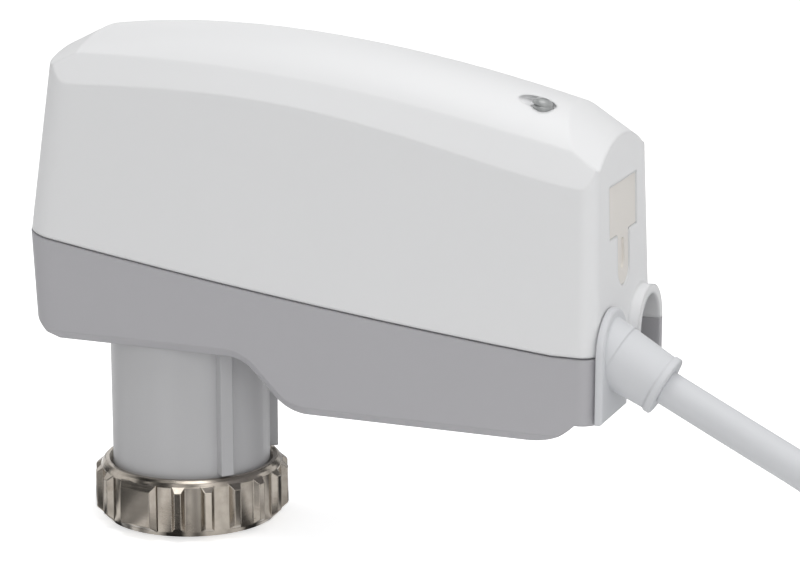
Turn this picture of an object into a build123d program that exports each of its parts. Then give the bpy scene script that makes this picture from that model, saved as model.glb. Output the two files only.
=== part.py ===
from build123d import *
from functools import cache
from math import acos, atan2, cos, degrees, pi, radians, sin, sqrt, tan
import os

# Electric valve actuator with a union nut, a geared stepper motor and a lead.
# Millimetres. The origin is on the nut's axis at its lower face, +Z up,
# and +X points along the housing towards the end with the ports.

# Union nut and the thread it carries
nut_height = 11.0
nut_rim_radius = 17.0
nut_body_radius = 17.4
nut_tip_radius = 18.5
thread_minor_radius = 14.2
thread_length = 8.0
nut_bar_positions = 20
nut_bar_width = 2.8
nut_bar_tip_width = 1.3
nut_bar_margin = 0.9
nut_bar_phase = -1.2
retainer_height = 1.0
retainer_depth = 0.75

# Neck that drops from the housing into the nut
neck_radius = 15.0
neck_bore_radius = 13.0
neck_reach = 36.2
neck_rib_radius = 16.9
neck_rib_width = 2.5
neck_rib_angle = 41.0
guide_web_height = 6.0
guide_web_level = 27.0

# Housing outline, seen from the side and from above
half_width = 17.5
left_reach = 26.4
right_reach = 86.2
left_corner_radius = 6.5
right_corner_radius = 3.2
wall = 2.0
belly_drop = 9.4
belly_start = 18.0
belly_bend_radius = 7.0
belly_foot_radius = 9.0
toe_run = 6.0
toe_rise = 4.0
heel_radius = 13.0
parting_left_height = 56.3
parting_right_height = 42.9
parting_sag = 1.0
parting_flat_start = 78.0
lower_edge_chamfer = 1.8
cover_side_lean = 3.2
cover_left_lean = 7.0
base_left_lean = 3.0
screw_boss_radius = 2.7
left_boss_x = -20.8
left_boss_y = 10.6
right_boss_x = 66.0
right_boss_y = 12.5
cover_boss_height = 17.0

# Crowned top: the height of its crest, of its edges and of the sides below them
crown_half_width = 12.8
shoulder_half_width = 15.6
crown_stations = ((-30.0, 90.3, 89.5, 85.1), (8.0, 95.1, 89.7, 84.9), (42.0, 92.5, 86.2, 81.2),
                  (77.0, 85.3, 79.5, 73.9), (94.0, 80.3, 76.0, 72.0))
left_bevel_low = 86.7
left_bevel_crown = 3.0
left_bevel_rise = 0.5
right_bevel_low = 75.6
right_bevel_crown = 4.3
right_bevel_fall = 0.635
bevel_span = 118.0

# Seam between the cover and the base
seam_gap = 0.35
seam_depth = 0.8
lip_height = 2.5
lip_thickness = 0.9
lip_clearance = 0.15

# Cable ports on the end face
end_lean = 1.6
port_offset = 9.4
port_width = 15.0
port_height = 19.4
port_floor_level = 31.2
flange_proud = 1.3
boot_drop_angle = 28.0
boot_length = 12.0
boot_root_radius = 5.9
boot_tip_radius = 5.2
hood_wall = 1.7
hood_proud = 1.9
insert_setback = 1.6
port_frame_top_run = 1.3
port_frame_foot_run = 3.6
port_frame_foot = 30.9

# Lead
cable_radius = 3.15
core_radius = 0.75
core_length = 10.0
ferrule_radius = 1.05
ferrule_length = 8.0
coil_mid_radius = 30.0
coil_turns_across = 2
coil_turns_high = 2
coil_x = 153.5
coil_y = 20.0
coil_edge_radius = cable_radius * 0.9
coil_tie_turn = 60.0
tie_thickness = 0.6
tie_slack = 0.2
tie_width = 4.4
tail_turn = 90.0
tail_start = 14.0
tail_length = 11.0
boot_axis_level = 43.0
boot_collar = 1.4
cable_route = [(110.92, -9.4, 30.15), (125.0, -9.75, 23.3), (140.5, -12.3, 15.2)]

# Service plug on the end face
plug_width = 15.6
plug_height = 9.2
plug_level = 67.0
plug_tongue_width = 6.6
plug_tongue_drop = 9.6
plug_thickness = 1.4
plug_sunk = 0.3
plug_fit = 0.12
plug_body_depth = 5.0
plug_body_gap = 0.25
plug_side_margin = 2.5
plug_top_margin = 2.0
plug_rim = 1.6
plug_rim_setback = 0.9
plug_groove_depth = 0.5

# Status light on the crown
light_x = 72.2
light_y = -6.0
light_radius = 1.9
light_dish_length = 7.0
light_dish_width = 4.8
light_dish_depth = 0.8
light_dish_shift = -0.9
light_dome = 0.9
light_rise = 0.2
light_standoff = 2.0
light_chip_radius = 1.5
light_chip_height = 1.8

# Gear train, motor and spindle
gear_module = 0.5
pinion_teeth = 12
wheel_teeth = 42
output_teeth = 50
tooth_backlash = 0.08
tooth_shift = 0.3
pressure_angle = radians(20)
wheel_height = 3.0
output_height = 5.0
gear_gap = 0.5
axle_radius = 1.0
running_gap = 0.05
spindle_radius = 4.0
stroke = 6.5
spindle_square = 7.2
guide_gap = 0.12
plunger_radius = 6.0
plunger_height = 3.0
plunger_rest_level = 19.7
chassis_thickness = 2.5
chassis_post_radius = 2.8
bearing_height = 2.2
motor_radius = 12.5
motor_height = 17.0
motor_plate = 1.2
motor_boss_radius = 3.0
motor_ear_reach = 16.0
motor_ear_radius = 3.5
roof_thickness = 2.2

# Fasteners and boards
screw_radius = 1.25
screw_head_radius = 2.3
screw_head_height = 1.6
board_thickness = 1.6
board_level = 62.0
board_post_left = 52.0
board_post_right = 65.4
board_post_radius = 2.6
board_left = 46.0
board_right = 80.5
board_half = 9.6
port_board_x = 72.4
port_board_top = 51.0
spare_depth = 6.0
lead_socket_front = 80.0
fit_gap = 0.1

# Levels and places worked out from the sizes above
belly_level = neck_reach - belly_drop
floor_level = neck_reach + wall
belly_floor = belly_level + wall
chassis_top = floor_level + chassis_thickness
wheel_level = chassis_top + gear_gap
wheel_pinion_level = wheel_level + wheel_height
output_level = wheel_pinion_level + gear_gap
bearing_level = output_level + output_height + fit_gap
roof_level = bearing_level + bearing_height
motor_level = roof_level + roof_thickness
output_distance = gear_module * (output_teeth + pinion_teeth) / 2
motor_distance = gear_module * (wheel_teeth + pinion_teeth) / 2
motor_x = output_distance + motor_distance
output_tip_radius = gear_module * (output_teeth / 2 + 1)
post_y = half_width - wall - chassis_post_radius - 1.5
post_left_x = -sqrt((output_tip_radius + chassis_post_radius + 0.8) ** 2 - post_y ** 2)
post_right_x = motor_x + sqrt((motor_radius + screw_head_radius + 0.4) ** 2 - post_y ** 2)
post_spots = [(x, y) for x in (post_left_x, post_right_x) for y in (post_y, -post_y)]
parting_slope = atan2(parting_left_height - parting_right_height, parting_flat_start + left_reach)
neck_foot = thread_length + 0.3
retainer_level = neck_foot + 0.8
port_arch_radius = port_width / 2
port_arch_level = port_floor_level + port_height - port_arch_radius
light_lean = atan2(crown_stations[2][1] - crown_stations[3][1], crown_stations[3][0] - crown_stations[2][0])
boss_spots = [(left_boss_x, left_boss_y), (left_boss_x, -left_boss_y),
              (right_boss_x, right_boss_y), (right_boss_x, -right_boss_y)]


def base_underside(x):
    """Height of the base's underside, on its flat stretches."""
    return neck_reach if x < belly_start else belly_level


def box_between(low, high):
    size = [b - a for a, b in zip(low, high)]
    middle = [(a + b) / 2 for a, b in zip(low, high)]
    return Pos(*middle) * Box(*size)


def upright(radius, bottom, top, x=0.0, y=0.0):
    return Pos(x, y, (bottom + top) / 2) * Cylinder(radius, top - bottom)


def side_prism(points, half):
    """A prism along Y from an outline of X, Z points."""
    return extrude(Plane.XZ * make_face(Polyline(*points, close=True)), amount=half, both=True)


def parting_height(x):
    """Height of the seam at a given X: a shallow sagging arc, then level."""
    start = -left_reach
    share = (min(x, parting_flat_start) - start) / (parting_flat_start - start)
    chord = parting_left_height + share * (parting_right_height - parting_left_height)
    return chord - 4 * parting_sag * share * (1 - share)


def above_seam(lift, height):
    """Everything from the seam surface, raised by lift, up to that height above it."""
    near_x, far_x = -left_reach - 20, right_reach + 30
    ends = [(x, parting_height(x)) for x in (near_x, (near_x + parting_flat_start) / 2, parting_flat_start)]

    def seam_arc(rise):
        return ThreePointArc(*[(x, z + rise) for x, z in ends])

    low, high = parting_right_height + lift, parting_right_height + lift + height
    outline = (seam_arc(lift) + seam_arc(lift + height)
               + Polyline((parting_flat_start, low), (far_x, low), (far_x, high), (parting_flat_start, high))
               + Line((near_x, ends[0][1] + lift), (near_x, ends[0][1] + lift + height)))
    return extrude(Plane.XZ * make_face(outline), amount=2 * half_width, both=True)


def rounded_plan(left_x, right_x, half, inset):
    """A plan outline with its own corner radii at each end."""
    left_round = max(left_corner_radius - inset, 0.6)
    right_round = max(right_corner_radius - inset, 0.6)
    x0, x1, y = left_x + inset, right_x - inset, half - inset
    lines = (Line((x0 + left_round, -y), (x1 - right_round, -y))
             + RadiusArc((x1 - right_round, -y), (x1, -y + right_round), -right_round)
             + Line((x1, -y + right_round), (x1, y - right_round))
             + RadiusArc((x1, y - right_round), (x1 - right_round, y), -right_round)
             + Line((x1 - right_round, y), (x0 + left_round, y))
             + RadiusArc((x0 + left_round, y), (x0, y - left_round), -left_round)
             + Line((x0, y - left_round), (x0, -y + left_round))
             + RadiusArc((x0, -y + left_round), (x0 + left_round, -y), -left_round))
    return make_face(lines)


def crown_section(x, crest, edge, side, inset):
    """The crowned roof across the housing, with its two shoulders, at one place."""
    fall = (edge - side) / (shoulder_half_width - crown_half_width)
    skirt = half_width + 8
    skirt_z = edge - fall * (skirt - crown_half_width)
    lines = (ThreePointArc((-crown_half_width, edge), (0, crest), (crown_half_width, edge))
             + Polyline((crown_half_width, edge), (skirt, skirt_z), (skirt, 0), (-skirt, 0),
                        (-skirt, skirt_z), (-crown_half_width, edge)))
    return Pos(x, 0, -inset) * (Plane.YZ * make_face(lines))


def end_bevel(x, low, crown, rise, inset):
    """All below a crowned ramp that crosses one end of the cover at the given height."""
    ends = []
    for far_x in (x - bevel_span, x + bevel_span):
        level = low + rise * (far_x - x)
        ends.append(crown_section(far_x, level + crown, level, level, inset))
    return loft(ends, ruled=True)


@cache
def cover_form(inset):
    """The cover's outside, or its inside when inset by the wall."""
    tilt = Pos(0, 0, parting_height(0)) * Rot(0, degrees(parting_slope), 0)

    def section(height):
        left_x = -left_reach / cos(parting_slope) + height * tan(radians(cover_left_lean) - parting_slope)
        right_x = right_reach / cos(parting_slope) - height * tan(radians(end_lean) + parting_slope)
        half = half_width - height * tan(radians(cover_side_lean))
        return tilt * Pos(0, 0, height) * rounded_plan(left_x, right_x, half, inset)

    body = loft([section(-6), section(65)], ruled=True)
    body &= loft([crown_section(*station, inset) for station in crown_stations])
    left_x = -left_reach + (left_bevel_low - parting_left_height) * tan(radians(cover_left_lean))
    right_x = right_reach - (right_bevel_low - parting_right_height) * tan(radians(end_lean))
    body &= end_bevel(left_x, left_bevel_low, left_bevel_crown, left_bevel_rise, inset)
    return body & end_bevel(right_x, right_bevel_low, right_bevel_crown, -right_bevel_fall, inset)


@cache
def base_form(inset):
    """The base's outside below the seam, or its inside when inset by the wall."""
    under, belly = neck_reach + inset, belly_level + inset
    shift = inset * (sqrt(2) - 1)
    slope_start = belly_start + shift
    slope_end = slope_start + belly_drop
    far_x = right_reach + 20
    toe_x = -left_reach + toe_run + (parting_left_height - neck_reach) * tan(radians(base_left_lean))
    path = FilletPolyline((toe_x + shift, under), (slope_start, under), (slope_end, belly), (far_x, belly),
                          radius=[belly_bend_radius + inset, belly_foot_radius - inset])
    steps = 6
    outline = path + Polyline((far_x, belly), (far_x, 80), (toe_x - steps * toe_run, 80),
                              (toe_x - steps * toe_run, under + steps * toe_rise), (toe_x + shift, under))
    body = extrude(Plane.XZ * make_face(outline), amount=half_width - inset, both=True)
    if inset == 0:
        low = [edge for edge in body.edges()
               if abs(abs(edge.center().Y) - half_width) < 0.01 and edge.center().Z < under + 0.01]
        body = chamfer(low, lower_edge_chamfer)

    def section(level):
        left_x = -left_reach + (parting_left_height - level) * tan(radians(base_left_lean))
        return Pos(0, 0, level) * rounded_plan(left_x, right_reach, half_width, inset)

    body &= loft([section(belly_level - 5), section(parting_left_height + 8)], ruled=True)
    heel = heel_radius - inset
    heel_x, heel_z = right_reach - inset - heel, belly + heel
    corner = (box_between((heel_x, -30, belly - 5), (right_reach + 5, 30, heel_z))
              - Pos(heel_x, 0, heel_z) * Rot(90, 0, 0) * Cylinder(heel, 80))
    corner = corner & box_between((heel_x, -30, belly - 5), (right_reach + 5, 30, heel_z))
    return body - corner


def end_face_x(level):
    """Where the cover's end face stands at a given height."""
    return right_reach - max(level - parting_right_height, 0) * tan(radians(end_lean))


def port_arch(y, grow, x_from, x_to):
    """An arch-topped prism along X, as wide as a port and grown all round."""
    r = port_arch_radius + grow
    low = port_floor_level - grow
    lines = (Polyline((y - r, port_arch_level), (y - r, low), (y + r, low), (y + r, port_arch_level))
             + ThreePointArc((y + r, port_arch_level), (y, port_arch_level + r), (y - r, port_arch_level)))
    return Pos(x_from, 0, 0) * extrude(Plane.YZ * make_face(lines), amount=x_to - x_from)


def plug_outline(grow):
    """The service plug's face: a wide head over a round-ended tongue."""
    w, h, t = plug_width / 2 + grow, plug_height / 2 + grow, plug_tongue_width / 2 + grow
    foot = -plug_height / 2 - plug_tongue_drop + plug_tongue_width / 2
    lines = (Polyline((t, foot), (t, -h), (w, -h), (w, h), (-w, h), (-w, -h), (-t, -h), (-t, foot))
             + ThreePointArc((-t, foot), (0, foot - t), (t, foot)))
    return make_face(lines)


def plug_body_face(inset):
    """The part of the plug that passes through the cover's wall."""
    return Rectangle(plug_width - 2 * (plug_side_margin + inset), plug_height - 2 * (plug_top_margin + inset))


plug_seat = (Pos(end_face_x(plug_level), 0, plug_level) * Rot(0, -end_lean, 0)
             * Plane.YZ.location)


def crown_height(x, y):
    """Height of the cover's outside above a point of the floor."""
    inside = cover_form(0) & Line((x, y, parting_left_height), (x, y, crown_stations[1][1] + 10))
    return max(vertex.Z for vertex in inside.vertices())


light_level = crown_height(light_x, light_y)


def top_cover():
    outside = cover_form(0)
    shell = (outside - cover_form(wall)) & above_seam(0, 80)
    rabbet = above_seam(-1, 1 + seam_gap) - cover_form(seam_depth)
    shell -= rabbet
    hollow = cover_form(wall / 2)
    for x, y in boss_spots:
        foot = parting_height(x) + fit_gap
        boss = upright(screw_boss_radius, foot, foot + cover_boss_height, x, y) & above_seam(fit_gap, 80)
        boss -= upright(screw_radius + fit_gap, foot - 5, foot + cover_boss_height - 3, x, y)
        shell += boss & hollow
    window = plug_seat * extrude(plug_body_face(0), amount=wall * 4, both=True)
    pocket = plug_seat * Pos(0, 0, -plug_thickness - plug_sunk) * extrude(
        plug_outline(plug_fit), amount=plug_thickness + 5)
    frame = plug_seat * Pos(0, 0, -wall - plug_rim_setback) * extrude(plug_outline(plug_rim), amount=wall)
    shell += frame & hollow
    shell -= pocket + window
    for side in (-1, 1):
        y = side * port_offset
        if side > 0:
            shell += port_arch(y, 0, right_reach - wall, right_reach + hood_proud) & above_seam(0, 80)
        shell -= port_arch(y, -hood_wall, right_reach - 3 * wall, right_reach + 2 * hood_proud)
    dish_x = light_x + light_dish_shift
    dish = scale(Sphere(1), (light_dish_length / 2, light_dish_width / 2, light_dish_depth))
    shell -= Pos(dish_x, light_y, crown_height(dish_x, light_y)) * Rot(0, degrees(light_lean), 0) * dish
    shell -= upright(light_radius + fit_gap, light_level - 10, light_level + 5, light_x, light_y)
    return shell


def base_housing():
    shell = base_form(0) - base_form(wall)
    frame_points = [(right_reach - port_frame_top_run, parting_right_height),
                    (right_reach - port_frame_foot_run, port_frame_foot),
                    (right_reach, port_frame_foot), (right_reach, parting_right_height)]
    corners = extrude(rounded_plan(-left_reach, right_reach, half_width, 0), amount=80)
    shell += (side_prism(frame_points, half_width) & corners)
    shell -= above_seam(0, 80)
    lip = cover_form(wall + lip_clearance) & above_seam(-lip_height, 2 * lip_height)
    lip += base_form(wall / 2) & above_seam(-lip_height, lip_height)
    lip -= cover_form(wall + lip_clearance + lip_thickness)
    lip &= box_between((-left_reach - 5, -30, 0), (port_board_x - 1, 30, 90))
    for x, y in boss_spots:
        lip -= upright(screw_boss_radius + 2 * lip_clearance, 0, 90, x, y)
    shell += lip
    solid = base_form(wall / 2) - above_seam(0, 80)
    for x, y in boss_spots:
        shell += upright(screw_boss_radius, neck_reach - 12, 80, x, y) & solid
    for x, y in post_spots[2:]:
        shell += upright(chassis_post_radius, belly_floor - 1, floor_level, x, y) & solid
    for x in (board_post_left, board_post_right):
        shell += upright(board_post_radius, belly_floor - 1, board_level, x)
        shell -= upright(screw_radius, board_level - 8, board_level + 1, x)
    for x, y in boss_spots:
        head_seat = base_underside(x) + screw_head_height + 1.0
        shell -= upright(screw_radius + 2 * fit_gap, 0, 90, x, y)
        shell -= upright(screw_head_radius + 2 * fit_gap, 0, head_seat, x, y)
    shell -= upright(neck_radius + fit_gap, neck_reach - 5, floor_level + 5)
    for side in (-1, 1):
        y = side * port_offset
        if side > 0:
            hood = port_arch(y, 0, right_reach - wall, right_reach + hood_proud)
            shell += hood - above_seam(0, 80)
        shell -= port_arch(y, -hood_wall, port_board_x + board_thickness, right_reach + 2 * hood_proud)
    return shell


def union_nut():
    """The nut's ring with its grip bars, its thread's core and its inner groove."""
    mouth = neck_radius + running_gap
    groove = neck_radius + retainer_depth + running_gap
    ring = [(thread_minor_radius, 0), (nut_rim_radius - 0.5, 0), (nut_body_radius, 1.0),
            (nut_body_radius, nut_height - 1.2), (nut_rim_radius, nut_height - 0.5),
            (nut_rim_radius - 0.5, nut_height), (mouth + 0.7, nut_height), (mouth, nut_height - 0.7),
            (mouth, retainer_level + retainer_height + fit_gap),
            (groove, retainer_level + retainer_height + fit_gap), (groove, retainer_level - fit_gap),
            (mouth, retainer_level - fit_gap), (mouth, thread_length), (thread_minor_radius, thread_length)]
    nut = revolve(Plane.XZ * make_face(Polyline(*ring, close=True)), Axis.Z)
    pitch = 360 / nut_bar_positions
    low, high = nut_bar_margin, nut_height - nut_bar_margin
    taper = nut_tip_radius - nut_body_radius

    def bar(width, tip_width, angle):
        root = Plane.YZ * Rectangle(width, high - low)
        tip = Plane.YZ * Rectangle(tip_width, high - low - 2 * taper)
        solid = loft([Pos(nut_body_radius - 0.3, 0, (low + high) / 2) * root,
                      Pos(nut_tip_radius, 0, (low + high) / 2) * tip], ruled=True)
        return Rot(0, 0, angle) * solid

    half_turn = nut_bar_positions // 2
    for k in range(nut_bar_positions):
        if k % half_turn == 4:
            wide = nut_body_radius * radians(pitch)
            nut += bar(nut_bar_width + wide, nut_bar_tip_width + wide, nut_bar_phase + (k + 0.5) * pitch)
        elif k % half_turn != 5:
            nut += bar(nut_bar_width, nut_bar_tip_width, nut_bar_phase + k * pitch)
    return nut


def neck_chassis():
    """The neck with its guide web, and the gearbox plate and posts above it."""
    neck = upright(neck_radius, neck_foot, chassis_top)
    neck -= upright(neck_bore_radius, neck_foot - 1, guide_web_level)
    neck -= upright(neck_bore_radius, guide_web_level + guide_web_height, floor_level)
    neck -= (upright(neck_radius + 1, retainer_level, retainer_level + retainer_height)
             - upright(neck_radius - retainer_depth, 0, 50))
    for side in (-1, 1):
        rib = box_between((0, -neck_rib_width / 2, nut_height + 0.5),
                          (neck_rib_radius, neck_rib_width / 2, neck_reach))
        neck += (Rot(0, 0, side * neck_rib_angle) * rib) - upright(neck_radius - 0.5, 0, 50)
    plate_half = half_width - wall - 0.5
    plate = box_between((post_left_x - chassis_post_radius, -plate_half, floor_level),
                        (post_right_x + chassis_post_radius, plate_half, chassis_top))
    corners = [edge for edge in plate.edges().filter_by(Axis.Z)]
    neck += fillet(corners, chassis_post_radius - 0.3)
    for x, y in post_spots:
        neck += upright(chassis_post_radius, chassis_top, roof_level, x, y)
        neck -= upright(screw_radius + running_gap, roof_level - 9, roof_level + 1, x, y)
    square = spindle_square + 2 * guide_gap
    neck -= box_between((-square / 2, -square / 2, 0), (square / 2, square / 2, floor_level))
    neck -= upright(square / sqrt(2) + 0.3, floor_level - 1, 90)
    neck -= upright(axle_radius, floor_level + 0.6, chassis_top + 1, output_distance)
    return neck


def nut_retainer():
    """An open snap ring in the neck's groove."""
    inner = neck_radius - retainer_depth + running_gap
    ring = (upright(neck_radius + retainer_depth - running_gap, retainer_level + running_gap,
                    retainer_level + retainer_height - running_gap)
            - upright(inner, 0, 50))
    gap = box_between((-neck_radius - 3, -1.5, 0), (0, 1.5, 50))
    return ring - gap


def spindle():
    """Threaded spindle with a square shank and a round plunger at its foot."""
    shank_top = floor_level + 2.0
    thread_top = bearing_level + bearing_height + stroke
    plunger_top = plunger_rest_level + plunger_height
    half = spindle_square / 2
    solid = upright(plunger_radius, plunger_rest_level, plunger_top)
    solid = chamfer(solid.edges().group_by(Axis.Z)[0], 0.8)
    solid += box_between((-half, -half, plunger_top), (half, half, shank_top))
    solid += upright(spindle_radius, shank_top, thread_top)
    return solid


def gear_points(teeth, shift, turn):
    """One closed outline of involute teeth, the first of them centred at the given turn."""
    pitch_radius = gear_module * teeth / 2
    base_radius = pitch_radius * cos(pressure_angle)
    tip_radius = pitch_radius + gear_module * (1 + shift)
    root_radius = pitch_radius - gear_module * (1.25 - shift)
    half_tooth = (pi / (2 * teeth) + 2 * shift * tan(pressure_angle) / teeth
                  - tooth_backlash / (4 * pitch_radius))

    def involute(angle):
        return tan(angle) - angle

    def half_angle(radius):
        return half_tooth + involute(pressure_angle) - involute(acos(base_radius / radius))

    start = max(base_radius * 1.002, root_radius + 0.02)
    flank = [start + (tip_radius - start) * share for share in (0, 0.45, 1)]
    points = []
    for k in range(teeth):
        middle = radians(turn) + 2 * pi * k / teeth
        points.append((root_radius, middle - half_angle(start)))
        points += [(r, middle - half_angle(r)) for r in flank]
        points += [(r, middle + half_angle(r)) for r in reversed(flank)]
        points.append((root_radius, middle + half_angle(start)))
    return [(r * cos(a), r * sin(a)) for r, a in points]


def toothed_disc(teeth, shift, turn, bottom, height, x):
    face = make_face(Polyline(*gear_points(teeth, shift, turn), close=True))
    return Pos(x, 0, bottom) * extrude(face, amount=height)


def output_gear():
    """The drive nut: its teeth outside, and the spindle's thread through it."""
    gear = toothed_disc(output_teeth, -tooth_shift, 0, output_level, output_height, 0)
    return gear - upright(spindle_radius + running_gap, 0, 90)


def middle_gear():
    """The wheel that the motor drives, with the pinion that drives the output gear."""
    wheel = toothed_disc(wheel_teeth, -tooth_shift, 0, wheel_level, wheel_height, output_distance)
    pinion = toothed_disc(pinion_teeth, tooth_shift, 180 / pinion_teeth, wheel_pinion_level,
                          gear_gap + output_height, output_distance)
    return wheel + pinion - upright(axle_radius + running_gap, 0, 90, output_distance)


def motor_rotor():
    """The motor's shaft with its pinion."""
    shaft = upright(axle_radius, wheel_level, motor_level + motor_height / 2, motor_x)
    return shaft + toothed_disc(pinion_teeth, tooth_shift, 180 / pinion_teeth, wheel_level,
                                wheel_height, motor_x)


def middle_axle():
    top = roof_level + roof_thickness - 0.4
    return upright(axle_radius, floor_level + 0.6, top, output_distance)


def thrust_washer():
    """Bearing ring between the output gear and the roof plate."""
    return (upright(spindle_radius + 4.5, bearing_level, roof_level)
            - upright(spindle_radius + 1, 0, 90))


def gearbox_roof():
    half = post_y + chassis_post_radius
    plate = box_between((post_left_x - chassis_post_radius, -half, roof_level),
                        (motor_x + motor_ear_reach + motor_ear_radius, half, roof_level + roof_thickness))
    plate = fillet(plate.edges().filter_by(Axis.Z), chassis_post_radius - 0.3)
    plate -= upright(spindle_radius + 1, 0, 90)
    plate -= upright(axle_radius, 0, 90, output_distance)
    plate -= upright(motor_boss_radius + fit_gap, 0, 90, motor_x)
    for x, y in post_spots:
        plate -= upright(screw_radius + fit_gap, 0, 90, x, y)
    for side in (-1, 1):
        plate -= upright(screw_radius, 0, 90, motor_x + side * motor_ear_reach)
    return plate


def screw(head_top, x, y, length, up=1):
    """A pan-head screw whose head rests at the given height."""
    head = upright(screw_head_radius, 0, screw_head_height)
    head = chamfer(head.edges().group_by(Axis.Z)[-1], 0.4)
    solid = head + upright(screw_radius, -length, 0)
    slot = box_between((-0.35, -1.5, screw_head_height - 0.7), (0.35, 1.5, screw_head_height + 1))
    solid -= slot + Rot(0, 0, 90) * slot
    turn = Rot(0, 0, 0) if up > 0 else Rot(180, 0, 0)
    return Pos(x, y, head_top) * turn * solid


def gearbox_screws():
    level = roof_level + roof_thickness
    return Compound(children=[screw(level, x, y, roof_thickness + 7) for x, y in post_spots])


def motor_screws():
    level = motor_level + motor_plate
    return Compound(children=[screw(level, motor_x + side * motor_ear_reach, 0, motor_plate + 1.8)
                              for side in (-1, 1)])


def housing_screws():
    made = []
    for x, y in boss_spots:
        seat = base_underside(x) + screw_head_height + 1.0
        made.append(screw(seat, x, y, parting_height(x) + cover_boss_height - 5 - seat, up=-1))
    return Compound(children=made)


def motor_can():
    """Stepper motor's can with its mounting ears and its nose."""
    can = upright(motor_radius, motor_level, motor_level + motor_height, motor_x)
    can = fillet(can.edges().group_by(Axis.Z)[-1], 1.2)
    can += box_between((motor_x - motor_ear_reach, -motor_ear_radius, motor_level),
                       (motor_x + motor_ear_reach, motor_ear_radius, motor_level + motor_plate))
    for side in (-1, 1):
        x = motor_x + side * motor_ear_reach
        can += upright(motor_ear_radius, motor_level, motor_level + motor_plate, x)
        can -= upright(screw_radius + fit_gap, 0, 90, x)
    can += upright(motor_boss_radius, roof_level + 0.4, motor_level, motor_x)
    return can - upright(axle_radius + running_gap, 0, motor_level + motor_height / 2 + 0.5, motor_x)


def circuit_board():
    board = box_between((board_left, -board_half, board_level),
                        (board_right, board_half, board_level + board_thickness))
    for x in (board_post_left, board_post_right):
        board -= upright(screw_radius + fit_gap, 0, 90, x)
    return board


def board_screws():
    level = board_level + board_thickness
    return Compound(children=[screw(level, x, 0, board_thickness + 5)
                              for x in (board_post_left, board_post_right)])


def board_parts():
    """Driver chips, capacitor and connector shells that stand on the board."""
    level = board_level + board_thickness
    chip = box_between((55.5, -6, level), (62.5, 1, level + 1.2))
    driver = box_between((56, 3, level), (61, 8, level + 1.2))
    reservoir = upright(3.0, level, level + 7.0, 49.8, -5.4)
    plug = box_between((46.4, 3.5, level), (50, 9, level + 4.5))
    return Compound(children=[chip, driver, reservoir, plug])


def service_socket():
    """Shell of the service connector behind the rubber plug."""
    level = board_level + board_thickness
    x0, x1 = board_right - 5.5, board_right - 0.2
    shell = box_between((x0, -4.2, level), (x1, 4.2, level + 3.4))
    return shell - box_between((x0 + 2, -3.6, level + 0.5), (x1 + 1, 3.6, level + 2.9))


def light_source():
    level = board_level + board_thickness
    return upright(light_chip_radius, level, level + light_chip_height, light_x, light_y)


def status_lens():
    """Light pipe from the board, ending in a small dome in the crown's dish."""
    foot = board_level + board_thickness + light_standoff
    top = light_level - light_dish_depth + light_rise
    pipe = upright(light_radius, foot, top, light_x, light_y)
    return pipe + (Pos(light_x, light_y, top) * scale(Sphere(1), (light_radius, light_radius, light_dome)))


def motor_ribbon():
    """Flat lead from the motor's side to the board's plug."""
    level = board_level + board_thickness
    start = motor_x + motor_radius - 0.2
    run = box_between((start, 4.2, level + 1.5), (46.4, 8.2, level + 2.3))
    return run - upright(motor_radius, 0, 90, motor_x)


def port_board():
    """Upright board that carries the two port sockets."""
    half = half_width - wall - lip_clearance - lip_thickness - 0.3
    board = box_between((port_board_x, -half, belly_floor),
                        (port_board_x + board_thickness, half, port_board_top))
    return board & base_form(wall)


def board_link():
    """Pin strip between the upright board and the main board."""
    x = port_board_x + board_thickness
    return box_between((x, 3.6, port_board_top - 4), (x + 1.2, 8.8, board_level))


def port_socket(side):
    """Socket block behind a port: an open-fronted box with a contact tongue."""
    y = side * port_offset
    half = port_arch_radius - hood_wall - 0.4
    low, high = port_floor_level + hood_wall + 0.4, port_arch_level + 1.8
    x0, x1 = port_board_x + board_thickness, right_reach - insert_setback
    block = box_between((x0, y - half, low), (x1, y + half, high))
    if side > 0:
        block -= box_between((x1 - spare_depth, y - half + 1, low + 1), (x1 + 1, y + half - 1, high - 1))
        middle = (low + high) / 2
        block += box_between((x1 - spare_depth - 1, y - 3, middle - 0.8), (x1 - 2, y + 3, middle + 0.8))
    else:
        block &= box_between((x0, -30, 0), (lead_socket_front, 30, 90))
    return block


def cable_boot():
    """Arch-shaped flange, the plug behind it and the tapered strain relief in front."""
    y = -port_offset
    face = right_reach + flange_proud
    flange = port_arch(y, 0, right_reach, face)
    flange = fillet(flange.faces().sort_by(Axis.X)[-1].edges(), 0.5)
    flange -= cover_form(0) & box_between((80, -30, parting_right_height), (right_reach, 30, 60))
    inner = port_arch(y, -hood_wall - fit_gap, lead_socket_front, right_reach)
    relief = Cone(boot_root_radius, boot_tip_radius, boot_length,
                  align=(Align.CENTER, Align.CENTER, Align.MIN))
    collar = Pos(0, 0, boot_length - boot_collar) * Cylinder(boot_tip_radius + 0.35, boot_collar,
                                                             align=(Align.CENTER, Align.CENTER, Align.MIN))
    relief += chamfer(collar.edges(), 0.2)
    seat = Pos(right_reach, y, boot_axis_level) * Rot(0, 90 + boot_drop_angle, 0)
    stem = seat * Pos(0, 0, -3) * Cylinder(boot_root_radius, 5, align=(Align.CENTER, Align.CENTER, Align.MIN))
    nose = (seat * relief + stem) - box_between((0, -40, 0), (right_reach, 40, 90))
    return flange + inner + nose


def boot_exit():
    drop = radians(boot_drop_angle)
    return (right_reach + boot_length * cos(drop), -port_offset, boot_axis_level - boot_length * sin(drop))


def cable_path():
    """Control points of the lead, from the boot's mouth to the coil."""
    return [Vector(*boot_exit()), *[Vector(*point) for point in cable_route]]


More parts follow.
